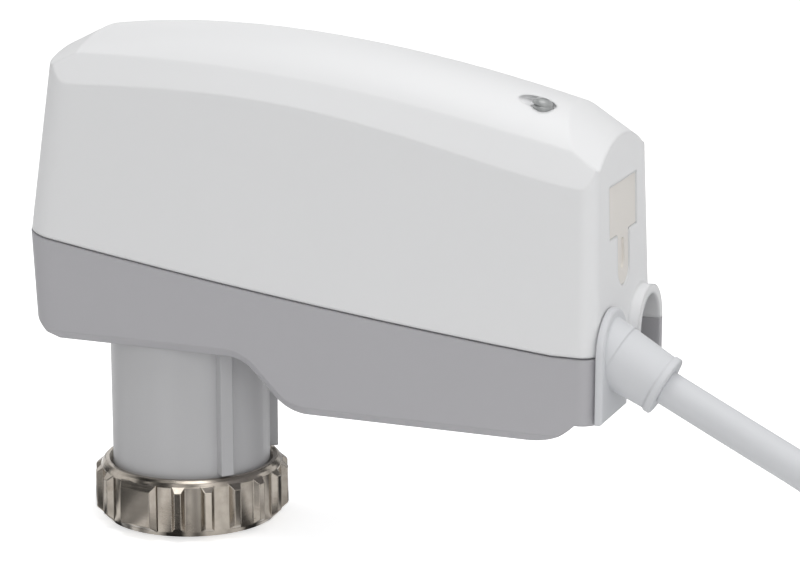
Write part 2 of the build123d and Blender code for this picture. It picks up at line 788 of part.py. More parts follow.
def cord_wire(points):
    """Straight runs joined by arcs as large as the runs beside them allow."""
    radii = []
    for before, here, after in zip(points, points[1:], points[2:]):
        turn = radians((here - before).get_angle(after - here))
        run = min((here - before).length, (after - here).length)
        radii.append(0.45 * run / tan(turn / 2))
    print("cord radii", [round(radius, 1) for radius in radii])
    return FilletPolyline(*points, radius=radii)


def cable():
    points = cable_path()
    wire = cord_wire(points)
    start = Plane(origin=points[0], z_dir=points[1] - points[0])
    tube = sweep(start * Circle(cable_radius), path=wire)
    print("cable length", round(wire.length, 1), "volume ratio",
          round(tube.volume / (wire.length * pi * cable_radius ** 2), 4))
    return tube


def cable_coil():
    """Outer shape of the coiled length, lying flat."""
    across = coil_turns_across * 2 * cable_radius
    high = coil_turns_high * 2 * cable_radius
    ring = Pos(coil_mid_radius, 0) * Rectangle(across, high)
    ring = fillet(ring.vertices(), coil_edge_radius)
    return Pos(coil_x, coil_y, high / 2) * revolve(Plane.XZ * ring, Axis.Z)


def coil_tie():
    """A narrow strap round the coil's far side."""
    across = coil_turns_across * 2 * cable_radius
    high = coil_turns_high * 2 * cable_radius
    outer = fillet(Rectangle(across + 4 * tie_thickness, high + 2 * tie_thickness).vertices(), cable_radius)
    inner = fillet(Rectangle(across + 2 * tie_slack, high).vertices(), coil_edge_radius)
    strap = extrude(Plane.XZ * (outer - inner), amount=tie_width / 2, both=True)
    place = Pos(coil_x, coil_y, high / 2) * Rot(0, 0, coil_tie_turn)
    return place * Pos(coil_mid_radius, 0, 0) * strap


def service_plug():
    """Rubber plug: its face plate, its pull tongue with a groove, and the body behind."""
    plate = Pos(0, 0, -plug_thickness - plug_sunk) * extrude(plug_outline(0), amount=plug_thickness)
    groove_foot = -plug_height / 2 - plug_tongue_drop + plug_tongue_width / 2
    groove = Pos(0, groove_foot + plug_tongue_drop / 4, -plug_sunk) * extrude(
        SlotOverall(plug_tongue_drop * 0.6, plug_tongue_width * 0.36, rotation=90), amount=-plug_groove_depth)
    body = Pos(0, 0, -plug_body_depth) * extrude(
        plug_body_face(plug_body_gap), amount=plug_body_depth - plug_thickness)
    return plug_seat * (plate - groove + body)


def coil_exit():
    """Where the lead's far end leaves the coil, and its heading."""
    turn = radians(tail_turn)
    outer = coil_mid_radius + (coil_turns_across - 1) * cable_radius
    spot = Vector(coil_x + outer * cos(turn), coil_y + outer * sin(turn), cable_radius)
    return spot, Vector(-sin(turn), cos(turn), 0)


def along_tail(radius, start, length, spread=0.0):
    """A straight rod that leaves the coil along the lead's far end."""
    spot, heading = coil_exit()
    side = heading.cross(Vector(0, 0, 1))
    origin = spot + heading * start + side * spread
    return extrude(Plane(origin=origin, z_dir=heading) * Circle(radius), amount=length)


def cable_tail():
    return along_tail(cable_radius, tail_start, tail_length)


def core_origins():
    """Four cores in a row side by side, none of them outside the lead's own width."""
    gap = 2 * ferrule_radius + 0.3
    return [cable_radius - ferrule_radius - k * gap for k in range(4)]


def lowered(shape, radius):
    return Pos(0, 0, radius - cable_radius) * shape


def cable_cores():
    start = tail_start + tail_length
    return Compound(children=[
        lowered(along_tail(core_radius, start, core_length, spread), ferrule_radius)
        for spread in core_origins()])


def core_ferrules():
    start = tail_start + tail_length + core_length
    return Compound(children=[
        lowered(along_tail(ferrule_radius, start, ferrule_length, spread), ferrule_radius)
        for spread in core_origins()])


parts = {
    "top_cover": top_cover, "base_housing": base_housing, "union_nut": union_nut,
    "neck_chassis": neck_chassis, "nut_retainer": nut_retainer, "spindle": spindle,
    "output_gear": output_gear, "middle_gear": middle_gear, "motor_rotor": motor_rotor,
    "middle_axle": middle_axle, "thrust_washer": thrust_washer, "gearbox_roof": gearbox_roof,
    "gearbox_screws": gearbox_screws, "motor_screws": motor_screws, "housing_screws": housing_screws,
    "motor_can": motor_can, "circuit_board": circuit_board, "board_screws": board_screws,
    "board_parts": board_parts, "service_socket": service_socket, "light_source": light_source,
    "status_lens": status_lens, "motor_ribbon": motor_ribbon, "port_board": port_board,
    "board_link": board_link, "lead_socket": lambda: port_socket(-1),
    "spare_socket": lambda: port_socket(1), "cable_boot": cable_boot, "cable": cable,
    "cable_coil": cable_coil, "coil_tie": coil_tie, "service_plug": service_plug,
    "cable_tail": cable_tail, "cable_cores": cable_cores, "core_ferrules": core_ferrules,
}
os.makedirs("parts", exist_ok=True)
for name, maker in parts.items():
    shape = maker()
    print(name, round(shape.volume), shape.is_valid, len(shape.solids()))
    export_step(shape, f"parts/{name}.step")
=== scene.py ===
from math import cos, radians, sin

import bmesh
import bpy
from bpy.props import FloatProperty, FloatVectorProperty, IntProperty, PointerProperty
from mathutils import Matrix, Vector


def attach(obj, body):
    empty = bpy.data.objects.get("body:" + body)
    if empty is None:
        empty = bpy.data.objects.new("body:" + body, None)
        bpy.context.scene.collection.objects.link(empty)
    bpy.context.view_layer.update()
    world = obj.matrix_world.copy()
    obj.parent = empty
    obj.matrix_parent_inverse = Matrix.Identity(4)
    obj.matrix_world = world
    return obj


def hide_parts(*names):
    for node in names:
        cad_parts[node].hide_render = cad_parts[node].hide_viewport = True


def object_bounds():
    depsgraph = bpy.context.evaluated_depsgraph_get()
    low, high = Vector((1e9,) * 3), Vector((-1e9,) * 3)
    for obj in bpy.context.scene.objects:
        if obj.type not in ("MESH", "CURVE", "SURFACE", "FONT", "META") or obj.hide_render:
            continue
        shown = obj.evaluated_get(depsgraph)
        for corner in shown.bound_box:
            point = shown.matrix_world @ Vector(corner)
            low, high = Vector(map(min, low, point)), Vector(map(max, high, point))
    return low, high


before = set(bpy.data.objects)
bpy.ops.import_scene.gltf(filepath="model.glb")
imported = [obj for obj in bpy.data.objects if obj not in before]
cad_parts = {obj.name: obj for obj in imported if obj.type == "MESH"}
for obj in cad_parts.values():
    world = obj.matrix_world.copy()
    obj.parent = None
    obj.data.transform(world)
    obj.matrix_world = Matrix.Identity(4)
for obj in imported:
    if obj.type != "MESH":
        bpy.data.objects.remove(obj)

bl_info = {
    "name": "Valve Actuator",
    "version": (1, 0, 0),
    "blender": (4, 5, 0),
    "location": "View3D > Sidebar > Actuator",
    "description": "Dresses an electric valve actuator and sets it on a pale studio floor",
    "category": "Object",
}

CAD_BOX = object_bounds()
LOW = Vector(CAD_BOX[0])

# Camera, as fitted to the photograph: metres for its place, degrees, and millimetres for the sensor
CAMERA_PLACE = (0.24027, -0.49589, 0.18442)
CAMERA_TILT = 75.8
CAMERA_TURN = 21.7
SENSOR_WIDTH = 36.0
NEAR_CLIP = 0.01

# Lead: its radius and its route from the boot to the coil, in metres, as the solid model has them
LEAD_RADIUS = 0.00315
BOOT_EXIT = (0.0967954, -0.0094, 0.0373663)
LEAD_ROUTE = (
    (0.11092, -0.0094, 0.03015),
    (0.125, -0.00975, 0.0233),
    (0.1405, -0.0123, 0.0152),
)
# Smoothness of the cord: order of its curve, steps between control points, and its roundness
CORD_ORDER = 3
CORD_STEPS = 8
CORD_ROUNDNESS = 6

# Coil: three and a half turns in two layers, with a wider and a closer turn in each
COIL_CENTRE = Vector((0.1535, 0.020, 0.0))
COIL_RADIUS = 0.030
OUTER_TURN = COIL_RADIUS + LEAD_RADIUS
INNER_TURN = COIL_RADIUS - LEAD_RADIUS
FLOOR_LAYER = LEAD_RADIUS
TOP_LAYER = 3 * LEAD_RADIUS
# Height of the lead's middle where it comes down on the coil
LANDING = 0.0112
# Angles round the coil, in degrees, where the turns start and where the tail leaves them
COIL_START = 270
TAIL_TURN = 90
# The coil's turns: degrees turned since the start, radius, and height of the lead's middle
COIL_STATIONS = (
    (0, OUTER_TURN, LANDING),
    (45, OUTER_TURN, TOP_LAYER),
    (315, OUTER_TURN, TOP_LAYER),
    (345, INNER_TURN, TOP_LAYER),
    (635, INNER_TURN, TOP_LAYER),
    (675, INNER_TURN, FLOOR_LAYER),
    (955, INNER_TURN, FLOOR_LAYER),
    (995, OUTER_TURN, FLOOR_LAYER),
    (4 * 360 + TAIL_TURN - COIL_START, OUTER_TURN, FLOOR_LAYER),
)
# How far past the coil the two control points of the tail lie
TAIL_REACHES = (0.012, 0.025)

# Cap of the status light: half sizes, lean with the roof, depth in its pipe, and segments
CAP_SIZE = (0.0019, 0.0017, 0.0011)
CAP_LEAN = radians(11.6)
CAP_SUNK = 0.0003
CAP_SEGMENTS = (48, 24)
# Height of the light pipe's end, whose middle the cap takes
PIPE_END = 0.004

# Materials of the part: depth of the fine relief, and rays that find an edge to soften
RELIEF_DEPTH = 0.0001
EDGE_SAMPLES = 8
# Moulded surfaces: how much specks darken, grain roughens and slow waves lift
SPECK_TONE = -0.035
GRAIN_ROUGHNESS = 0.05
WAVE_HEIGHT = 0.6
# Turned metal: how much dull patches and lathe lines roughen, pits lift, and all relief shows
DULL_ROUGHNESS = 0.28
LINE_ROUGHNESS = 0.10
PIT_HEIGHT = 0.5
METAL_RELIEF = 0.08

# Stage: half the floor's side and its gap under the part, then the floor's shade and glow
FLOOR_HALF = 6.0
FLOOR_GAP = 0.0002
FLOOR_SHADE = 0.9
FLOOR_GLOW = 0.62
# Dark screens in reflections: noise scale, then noise from and to, and light from and to
FLOOR_SCREENS = (3.4, (0.44, 0.60, 0.05, 0.9))
SKY_SCREENS = (2.6, (0.44, 0.56, 0.03, 1.0))
# Lamps: name, size, place and aim
LAMPS = (
    ("key lamp", 0.6, (0.10, -0.05, 0.85), (0.03, 0.0, 0.06)),
    ("side lamp", 0.5, (0.55, -0.60, 0.40), (0.03, 0.0, 0.05)),
    ("end lamp", 0.4, (0.80, 0.10, 0.45), (0.08, 0.0, 0.05)),
)


class LeadSettings(bpy.types.PropertyGroup):
    """Sizes of the lead and its coil."""

    radius: FloatProperty(
        name="Lead radius", description="Half the lead's thickness",
        default=LEAD_RADIUS, min=0.001, unit="LENGTH")
    turn_points: IntProperty(
        name="Points per turn", description="Control points in one turn of the coil",
        default=24, min=12, max=48)


class FinishSettings(bpy.types.PropertyGroup):
    """Colours of the parts that show."""

    cover: FloatVectorProperty(
        name="Cover", description="Pale plastic of the top cover",
        subtype="COLOR", default=(0.82, 0.823, 0.83), min=0, max=1)
    base: FloatVectorProperty(
        name="Base", description="Grey plastic of the base",
        subtype="COLOR", default=(0.47, 0.465, 0.485), min=0, max=1)
    neck: FloatVectorProperty(
        name="Neck", description="Lighter grey plastic of the neck",
        subtype="COLOR", default=(0.54, 0.54, 0.55), min=0, max=1)
    lead: FloatVectorProperty(
        name="Lead", description="Pale grey sheath of the lead and its boot",
        subtype="COLOR", default=(0.68, 0.69, 0.71), min=0, max=1)
    nut: FloatVectorProperty(
        name="Nut", description="Nickel plate of the union nut",
        subtype="COLOR", default=(0.45, 0.41, 0.36), min=0, max=1)
    plug: FloatVectorProperty(
        name="Plug", description="Rubber of the service plug",
        subtype="COLOR", default=(0.80, 0.77, 0.73), min=0, max=1)


class StageSettings(bpy.types.PropertyGroup):
    """Lamps, backdrop and camera."""

    lens: FloatProperty(
        name="Lens", description="Focal length of the camera in millimetres",
        default=135.0, min=10.0)
    key_power: FloatProperty(
        name="Key lamp", description="Power of the large lamp overhead",
        default=2.8, min=0, unit="POWER")
    side_power: FloatProperty(
        name="Side lamp", description="Power of the lamp beside the camera",
        default=0.9, min=0, unit="POWER")
    end_power: FloatProperty(
        name="End lamp", description="Power of the small lamp beyond the ports",
        default=0.35, min=0, unit="POWER")
    sky: FloatProperty(
        name="Sky", description="Strength of the light from all round",
        default=0.52, min=0)


def group_with(name, inputs, outputs):
    """An empty shader node group with its sockets made."""
    group = bpy.data.node_groups.new(name, "ShaderNodeTree")
    for label, kind, value in inputs:
        socket = group.interface.new_socket(label, in_out="INPUT", socket_type=kind)
        socket.default_value = value
    for label, kind in outputs:
        group.interface.new_socket(label, in_out="OUTPUT", socket_type=kind)
    entry = group.nodes.new("NodeGroupInput")
    leave = group.nodes.new("NodeGroupOutput")
    return group, entry, leave


def noise(nodes, scale=None, detail=2.0, roughness=0.5):
    """A noise texture node, whose scale may be left to a link."""
    node = nodes.new("ShaderNodeTexNoise")
    if scale is not None:
        node.inputs["Scale"].default_value = scale
    node.inputs["Detail"].default_value = detail
    node.inputs["Roughness"].default_value = roughness
    return node


def remap(nodes, low_in, high_in, low_out, high_out):
    """A node that stretches one span of values onto another."""
    node = nodes.new("ShaderNodeMapRange")
    values = (low_in, high_in, low_out, high_out)
    for label, value in zip(("From Min", "From Max", "To Min", "To Max"), values):
        node.inputs[label].default_value = value
    return node


def maths(nodes, links, first, second, kind="ADD"):
    """The output of a maths node on two values, each a number or another node's output."""
    node = nodes.new("ShaderNodeMath")
    node.operation = kind
    for socket, value in zip(node.inputs, (first, second)):
        if isinstance(value, (int, float)):
            socket.default_value = value
        else:
            links.new(value, socket)
    return node.outputs[0]


def moulded_surface():
    """Fine moulding grain, slow colour drift and handling marks for plastics and rubber."""
    if "Moulded Surface" in bpy.data.node_groups:
        return bpy.data.node_groups["Moulded Surface"]
    group, entry, leave = group_with(
        "Moulded Surface",
        [("Color", "NodeSocketColor", (0.8, 0.8, 0.8, 1)), ("Roughness", "NodeSocketFloat", 0.45),
         ("Grain Scale", "NodeSocketFloat", 2600.0), ("Drift", "NodeSocketFloat", 0.03),
         ("Marks", "NodeSocketFloat", 0.06)],
        [("Color", "NodeSocketColor"), ("Roughness", "NodeSocketFloat"), ("Height", "NodeSocketFloat")])
    nodes, links = group.nodes, group.links
    place = nodes.new("ShaderNodeTexCoord").outputs["Object"]
    grain = noise(nodes, detail=3.0, roughness=0.6)
    links.new(entry.outputs["Grain Scale"], grain.inputs["Scale"])
    flow = noise(nodes, scale=38.0, detail=3.0)
    marks = noise(nodes, scale=210.0, detail=6.0, roughness=0.7)
    specks = nodes.new("ShaderNodeTexVoronoi")
    specks.inputs["Scale"].default_value = 420.0
    for texture in (grain, flow, marks, specks):
        links.new(place, texture.inputs["Vector"])
    speck_mask = remap(nodes, 0.02, 0.07, 1.0, 0.0)
    links.new(specks.outputs["Distance"], speck_mask.inputs["Value"])
    drift = maths(nodes, links, flow.outputs[0], 0.5, "SUBTRACT")
    drift = maths(nodes, links, drift, entry.outputs["Drift"], "MULTIPLY")
    speck_dark = maths(nodes, links, speck_mask.outputs[0], SPECK_TONE, "MULTIPLY")
    value = maths(nodes, links, maths(nodes, links, drift, speck_dark), 1.0)
    tone = nodes.new("ShaderNodeHueSaturation")
    links.new(entry.outputs["Color"], tone.inputs["Color"])
    links.new(value, tone.inputs["Value"])
    links.new(tone.outputs[0], leave.inputs["Color"])
    rub = remap(nodes, 0.45, 0.75, 0.0, 1.0)
    links.new(marks.outputs[0], rub.inputs["Value"])
    shine = maths(nodes, links, rub.outputs[0], entry.outputs["Marks"], "MULTIPLY")
    fine = maths(nodes, links, grain.outputs[0], GRAIN_ROUGHNESS, "MULTIPLY")
    total = maths(nodes, links, maths(nodes, links, entry.outputs["Roughness"], shine), fine)
    links.new(total, leave.inputs["Roughness"])
    slow = maths(nodes, links, flow.outputs[0], WAVE_HEIGHT, "MULTIPLY")
    links.new(maths(nodes, links, grain.outputs[0], slow), leave.inputs["Height"])
    return group


def turned_metal():
    """Lathe lines round the upright axis, with dull patches and small stains."""
    if "Turned Metal" in bpy.data.node_groups:
        return bpy.data.node_groups["Turned Metal"]
    group, entry, leave = group_with(
        "Turned Metal",
        [("Color", "NodeSocketColor", (0.6, 0.6, 0.6, 1)), ("Stain", "NodeSocketColor", (0.2, 0.16, 0.12, 1)),
         ("Roughness", "NodeSocketFloat", 0.3), ("Line Scale", "NodeSocketFloat", 3000.0),
         ("Wear", "NodeSocketFloat", 0.4)],
        [("Color", "NodeSocketColor"), ("Roughness", "NodeSocketFloat"), ("Height", "NodeSocketFloat")])
    nodes, links = group.nodes, group.links
    place = nodes.new("ShaderNodeTexCoord").outputs["Object"]
    squeeze = nodes.new("ShaderNodeMapping")
    squeeze.inputs["Scale"].default_value = (0.02, 0.02, 1.0)
    links.new(place, squeeze.inputs["Vector"])
    lines = noise(nodes, detail=3.0, roughness=0.65)
    links.new(entry.outputs["Line Scale"], lines.inputs["Scale"])
    links.new(squeeze.outputs[0], lines.inputs["Vector"])
    patches = noise(nodes, scale=160.0, detail=5.0, roughness=0.65)
    pits = noise(nodes, scale=900.0)
    for texture in (patches, pits):
        links.new(place, texture.inputs["Vector"])
    dull = remap(nodes, 0.42, 0.68, 0.0, 1.0)
    links.new(patches.outputs[0], dull.inputs["Value"])
    amount = maths(nodes, links, dull.outputs[0], entry.outputs["Wear"], "MULTIPLY")
    mix = nodes.new("ShaderNodeMix")
    mix.data_type = "RGBA"
    links.new(amount, mix.inputs["Factor"])
    links.new(entry.outputs["Color"], mix.inputs["A"])
    links.new(entry.outputs["Stain"], mix.inputs["B"])
    links.new(mix.outputs["Result"], leave.inputs["Color"])
    rough = maths(nodes, links, amount, DULL_ROUGHNESS, "MULTIPLY")
    rough = maths(nodes, links, rough, maths(nodes, links, lines.outputs[0], LINE_ROUGHNESS, "MULTIPLY"))
    links.new(maths(nodes, links, rough, entry.outputs["Roughness"]), leave.inputs["Roughness"])
    fine = maths(nodes, links, pits.outputs[0], PIT_HEIGHT, "MULTIPLY")
    links.new(maths(nodes, links, lines.outputs[0], fine), leave.inputs["Height"])
    return group


def finish_with(name, group, values, bump=0.1, edge=0.0, **shader_values):
    """A material that feeds a shared group into a shader, with edges softened by a radius."""
    material = bpy.data.materials.new(name)
    material.use_nodes = True
    nodes, links = material.node_tree.nodes, material.node_tree.links
    shader = nodes["Principled BSDF"]
    for label, value in shader_values.items():
        shader.inputs[label.replace("_", " ")].default_value = value
    effect = nodes.new("ShaderNodeGroup")
    effect.node_tree = group
    for label, value in values.items():
        effect.inputs[label].default_value = value
    links.new(effect.outputs["Color"], shader.inputs["Base Color"])
    links.new(effect.outputs["Roughness"], shader.inputs["Roughness"])
    relief = nodes.new("ShaderNodeBump")
    relief.inputs["Strength"].default_value = bump
    relief.inputs["Distance"].default_value = RELIEF_DEPTH
    links.new(effect.outputs["Height"], relief.inputs["Height"])
    if edge:
        soften = nodes.new("ShaderNodeBevel")
        soften.samples = EDGE_SAMPLES
        soften.inputs["Radius"].default_value = edge
        links.new(soften.outputs[0], relief.inputs["Normal"])
    links.new(relief.outputs[0], shader.inputs["Normal"])
    return material


def plastic(name, colour, roughness=0.45, grain=2600.0, drift=0.03, marks=0.06, bump=0.1, edge=0.0,
            **shader_values):
    """A moulded plastic or rubber of one colour."""
    values = {
        "Color": (*colour, 1), "Roughness": roughness, "Grain Scale": grain, "Drift": drift,
        "Marks": marks}
    return finish_with(name, moulded_surface(), values, bump=bump, edge=edge, **shader_values)


def metal(name, colour, stain, roughness=0.3, lines=3000.0, wear=0.4, edge=0.0):
    """A turned or plated metal that wears towards its stain."""
    values = {
        "Color": (*colour, 1), "Stain": (*stain, 1), "Roughness": roughness, "Line Scale": lines,
        "Wear": wear}
    return finish_with(name, turned_metal(), values, bump=METAL_RELIEF, edge=edge, Metallic=1.0)


def dress(material, *names):
    """Gives a material to nodes of the solid model."""
    for name in names:
        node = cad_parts[name]
        if not node.material_slots:
            node.data.materials.append(material)
        for slot in node.material_slots:
            slot.material = material


class ACTUATOR_OT_camera(bpy.types.Operator):
    """Place the camera where the photograph was taken from"""

    bl_idname = "actuator.camera"
    bl_label = "Camera"

    def execute(self, context):
        camera = bpy.data.objects.new("camera", bpy.data.cameras.new("camera"))
        context.scene.collection.objects.link(camera)
        camera.data.lens = context.scene.actuator_stage.lens
        camera.data.sensor_width = SENSOR_WIDTH
        camera.data.clip_start = NEAR_CLIP
        camera.location = CAMERA_PLACE
        camera.rotation_euler = (radians(CAMERA_TILT), 0.0, radians(CAMERA_TURN))
        context.scene.camera = camera
        return {"FINISHED"}


def coil_points(per_turn):
    """Control points of the turns: down from the top layer to the floor, then away."""
    step = 360 / per_turn
    shrink = cos(radians(step / 2))
    points = []
    turned = 0.0
    while turned < COIL_STATIONS[-1][0] - step / 3:
        for before, after in zip(COIL_STATIONS, COIL_STATIONS[1:]):
            if before[0] <= turned <= after[0]:
                share = (turned - before[0]) / (after[0] - before[0])
                radius = before[1] + share * (after[1] - before[1])
                height = before[2] + share * (after[2] - before[2])
        angle = radians(COIL_START + turned)
        offset = Vector((cos(angle), sin(angle), 0)) * radius / shrink
        points.append(COIL_CENTRE + offset + Vector((0, 0, height)))
        turned += step
    return points


def tail_end():
    """The lead's far end, past the place where it leaves the coil."""
    angle = radians(TAIL_TURN)
    leave = COIL_CENTRE + Vector((cos(angle), sin(angle), 0)) * OUTER_TURN
    heading = Vector((-sin(angle), cos(angle), 0))
    return [leave + heading * reach + Vector((0, 0, FLOOR_LAYER)) for reach in TAIL_REACHES]


class ACTUATOR_OT_lead(bpy.types.Operator):
    """Lay the lead from its boot to the coil, as one smooth cord"""

    bl_idname = "actuator.lead"
    bl_label = "Lead and coil"

    def execute(self, context):
        settings = context.scene.actuator_lead
        points = [Vector(BOOT_EXIT), *(Vector(point) for point in LEAD_ROUTE)]
        points += coil_points(settings.turn_points) + tail_end()
        curve = bpy.data.curves.new("lead", "CURVE")
        curve.dimensions = "3D"
        spline = curve.splines.new("NURBS")
        spline.points.add(len(points) - 1)
        for control, point in zip(spline.points, points):
            control.co = (*point, 1.0)
        spline.order_u = CORD_ORDER
        spline.use_endpoint_u = True
        spline.resolution_u = CORD_STEPS
        curve.bevel_depth = settings.radius
        curve.bevel_resolution = CORD_ROUNDNESS
        curve.use_fill_caps = True
        lead = bpy.data.objects.new("lead", curve)
        context.scene.collection.objects.link(lead)
        curve.materials.append(bpy.data.materials["lead sheath"])
        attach(lead, "housing")
        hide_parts("cable", "cable_coil", "cable_tail")
        # The smooth cord is a little shorter than the straight lines between its control points
        return {"FINISHED"}


class ACTUATOR_OT_housing_finish(bpy.types.Operator):
    """Give the cover, the base and the neck their moulded plastics"""

    bl_idname = "actuator.housing_finish"
    bl_label = "Housing plastics"

    def execute(self, context):
        finish = context.scene.actuator_finish
        cover = plastic("cover plastic", finish.cover, roughness=0.42, drift=0.015, bump=0.06, edge=0.0009)
        base = plastic("base plastic", finish.base, roughness=0.44, drift=0.03, bump=0.12, edge=0.0006)
        neck = plastic("neck plastic", finish.neck, roughness=0.36, drift=0.06, marks=0.10, bump=0.12,
                       edge=0.0004)
        dress(cover, "top_cover")
        dress(base, "base_housing")
        dress(neck, "neck_chassis")
        return {"FINISHED"}


class ACTUATOR_OT_nut_finish(bpy.types.Operator):
    """Give the union nut its nickel plate"""

    bl_idname = "actuator.nut_finish"
    bl_label = "Nut plating"

    def execute(self, context):
        finish = context.scene.actuator_finish
        nickel = metal("nickel plate", finish.nut, (0.22, 0.18, 0.14), roughness=0.13, lines=2600.0,
                       wear=0.35, edge=0.0003)
        dress(nickel, "union_nut")
        return {"FINISHED"}


class ACTUATOR_OT_lead_finish(bpy.types.Operator):
    """Give the boot, the lead and its bare end their finishes"""

    bl_idname = "actuator.lead_finish"
    bl_label = "Lead finishes"

    def execute(self, context):
        finish = context.scene.actuator_finish
        sheath = plastic("lead sheath", finish.lead, roughness=0.50, grain=1800.0, drift=0.04, bump=0.10,
                         edge=0.0005)
        dress(sheath, "cable_boot")
        dress(plastic("tie strap", (0.08, 0.08, 0.085), roughness=0.5), "coil_tie")
        dress(plastic("core sheaths", (0.42, 0.24, 0.13), roughness=0.4, drift=0.2), "cable_cores")
        dress(metal("tinned ferrules", (0.72, 0.72, 0.73), (0.4, 0.4, 0.41), roughness=0.3), "core_ferrules")
        return {"FINISHED"}


class ACTUATOR_OT_small_finish(bpy.types.Operator):
    """Give the service plug, the status light and the ports their finishes"""

    bl_idname = "actuator.small_finish"
    bl_label = "Plug, light and ports"

    def execute(self, context):
        finish = context.scene.actuator_finish
        rubber = plastic("plug rubber", finish.plug, roughness=0.62, grain=1500.0, drift=0.08, marks=0.1,
                         bump=0.2)
        smoky = plastic("smoky light pipe", (0.34, 0.35, 0.35), roughness=0.14, drift=0.05, marks=0.03,
                        bump=0.02, Coat_Weight=0.6)
        black = plastic("socket black", (0.05, 0.05, 0.055), roughness=0.5, drift=0.2)
        dress(rubber, "service_plug")
        dress(smoky, "status_lens", "light_source")
        dress(black, "lead_socket", "spare_socket", "board_link", "board_parts")
        return {"FINISHED"}


class ACTUATOR_OT_drive_finish(bpy.types.Operator):
    """Give the motor, the gears and the boards inside their finishes"""

    bl_idname = "actuator.drive_finish"
    bl_label = "Drive and boards"

    def execute(self, context):
        steel = metal("zinc steel", (0.62, 0.62, 0.64), (0.34, 0.34, 0.36), roughness=0.3)
        can = metal("drawn can", (0.56, 0.56, 0.57), (0.36, 0.35, 0.34), roughness=0.36, lines=900.0)
        gear = plastic("gear plastic", (0.82, 0.81, 0.76), roughness=0.4, drift=0.05)
        inner = plastic("inner plastic", (0.13, 0.13, 0.14), roughness=0.5, drift=0.15)
        laminate = plastic("board laminate", (0.04, 0.22, 0.11), roughness=0.3, grain=900.0, drift=0.4)
        ribbon = plastic("ribbon sheath", (0.66, 0.66, 0.64), roughness=0.45)
        dress(steel, "nut_retainer", "motor_rotor", "middle_axle", "thrust_washer", "gearbox_screws",
              "motor_screws", "housing_screws", "board_screws", "service_socket")
        dress(can, "motor_can")
        dress(gear, "output_gear", "middle_gear", "spindle")
        dress(inner, "gearbox_roof")
        dress(laminate, "circuit_board", "port_board")
        dress(ribbon, "motor_ribbon")
        return {"FINISHED"}


class ACTUATOR_OT_light_cap(bpy.types.Operator):
    """Set the rounded cap of the status light on top of its light pipe"""

    bl_idname = "actuator.light_cap"
    bl_label = "Status light cap"

    def execute(self, context):
        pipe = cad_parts["status_lens"]
        spots = [pipe.matrix_world @ corner.co for corner in pipe.data.vertices]
        top = max(spots, key=lambda spot: spot.z).z
        crown = [spot for spot in spots if spot.z > top - PIPE_END]
        middle = sum(crown, Vector()) / len(crown)
        seat = Vector((middle.x, middle.y, top - CAP_SUNK))
        place = Matrix.Translation(seat) @ Matrix.Rotation(CAP_LEAN, 4, "Y")
        around, along = CAP_SEGMENTS
        cap = bmesh.new()
        bmesh.ops.create_uvsphere(cap, u_segments=around, v_segments=along, radius=1.0,
                                  matrix=place @ Matrix.Diagonal((*CAP_SIZE, 1)))
        bmesh.ops.bisect_plane(cap, geom=cap.verts[:] + cap.edges[:] + cap.faces[:], plane_co=seat,
                               plane_no=(sin(CAP_LEAN), 0, cos(CAP_LEAN)), clear_inner=True)
        bmesh.ops.contextual_create(cap, geom=[edge for edge in cap.edges if edge.is_boundary])
        # The flat underside is the one face with more than four corners, and it stays flat
        for face in cap.faces:
            face.smooth = len(face.verts) < 5
        mesh = bpy.data.meshes.new("light_cap")
        cap.to_mesh(mesh)
        cap.free()
        mesh.materials.append(bpy.data.materials["smoky light pipe"])
        piece = bpy.data.objects.new("light_cap", mesh)
        context.scene.collection.objects.link(piece)
        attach(piece, "housing")
        return {"FINISHED"}


def backdrop_material():
    """Pale floor that keeps the shadow and shows white to the camera, with dark screens in reflections."""
    material = bpy.data.materials.new("studio floor")
    material.use_nodes = True
    nodes, links = material.node_tree.nodes, material.node_tree.links
    shader = nodes["Principled BSDF"]
    shader.inputs["Roughness"].default_value = 0.9
    shader.inputs["Specular IOR Level"].default_value = 0.1
    shader.inputs["Emission Color"].default_value = (1, 1, 1, 1)
    around = nodes.new("ShaderNodeVectorMath")
    around.operation = "NORMALIZE"
    links.new(nodes.new("ShaderNodeTexCoord").outputs["Object"], around.inputs[0])
    shade = dark_screens(nodes, links, around.outputs[0], *FLOOR_SCREENS)
    links.new(maths(nodes, links, shade, FLOOR_SHADE, "MULTIPLY"), shader.inputs["Base Color"])
    glow = maths(nodes, links, seen_directly(nodes, links, 0.0, FLOOR_GLOW), shade, "MULTIPLY")
    links.new(glow, shader.inputs["Emission Strength"])
    return material


def seen_directly(nodes, links, unseen, seen):
    """One strength for rays from the camera, mirrors and glass, and another for light."""
    path = nodes.new("ShaderNodeLightPath")
    most = maths(nodes, links, path.outputs["Is Camera Ray"], path.outputs["Is Glossy Ray"], "MAXIMUM")
    most = maths(nodes, links, most, path.outputs["Is Transmission Ray"], "MAXIMUM")
    strength = remap(nodes, 0.0, 1.0, unseen, seen)
    links.new(most, strength.inputs["Value"])
    return strength.outputs[0]


def dark_screens(nodes, links, direction, scale, levels):
    """Dark upright screens round the stage that only reflections show."""
    squeeze = nodes.new("ShaderNodeMapping")
    squeeze.inputs["Scale"].default_value = (1.0, 1.0, 0.15)
    links.new(direction, squeeze.inputs["Vector"])
    screens = noise(nodes, scale=scale, detail=1.0)
    links.new(squeeze.outputs[0], screens.inputs["Vector"])
    light = remap(nodes, *levels)
    links.new(screens.outputs[0], light.inputs["Value"])
    glossy = nodes.new("ShaderNodeLightPath").outputs["Is Glossy Ray"]
    dark = maths(nodes, links, maths(nodes, links, 1.0, light.outputs[0], "SUBTRACT"), glossy, "MULTIPLY")
    return maths(nodes, links, 1.0, dark, "SUBTRACT")


